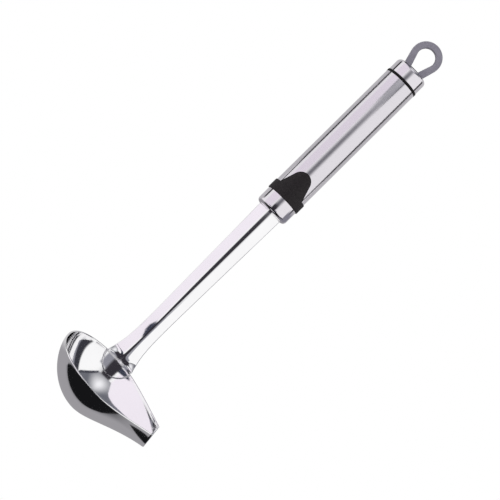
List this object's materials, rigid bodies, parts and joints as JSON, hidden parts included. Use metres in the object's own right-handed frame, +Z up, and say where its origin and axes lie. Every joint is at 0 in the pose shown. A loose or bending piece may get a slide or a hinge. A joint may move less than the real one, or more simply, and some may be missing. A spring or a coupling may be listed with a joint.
{
  "type": "gravy ladle",
  "caption": "Gravy ladle with a polished pressed bowl drawn out to a side spout, a ridged strip shank and a hollow brushed steel handle with a thumb grip and a hanging loop",
  "frame": {"origin": "top of the hole in the hanging loop, where the loop bears on a hook", "axes": "+Z runs up the handle to the loop, +X points to the spout, -Y is the front: the open side of the bowl and the thumb grip face it"},
  "size_m": [0.0751, 0.0648, 0.2959],
  "materials": {
    "mirror_steel": "mirror-polished stainless steel",
    "brushed_steel": "fine satin stainless steel, polished along its length",
    "black_grip": "matt black moulding",
    "grey_moulding": "matt grey moulding",
    "insert_nylon": "plain dark nylon",
    "pin_steel": "plain drawn steel"
  },
  "bodies": {
    "root": {"bowl": "mirror_steel", "shank": "mirror_steel", "nose_cap": "brushed_steel", "front_insert": "insert_nylon", "tang_pin": "pin_steel", "thumb_grip": "black_grip", "handle_tube": "brushed_steel", "spacer_ring": "black_grip", "rear_insert": "insert_nylon", "end_cap": "brushed_steel", "hanging_loop": "grey_moulding", "loop_pin": "pin_steel"}
  },
  "joints": []
}
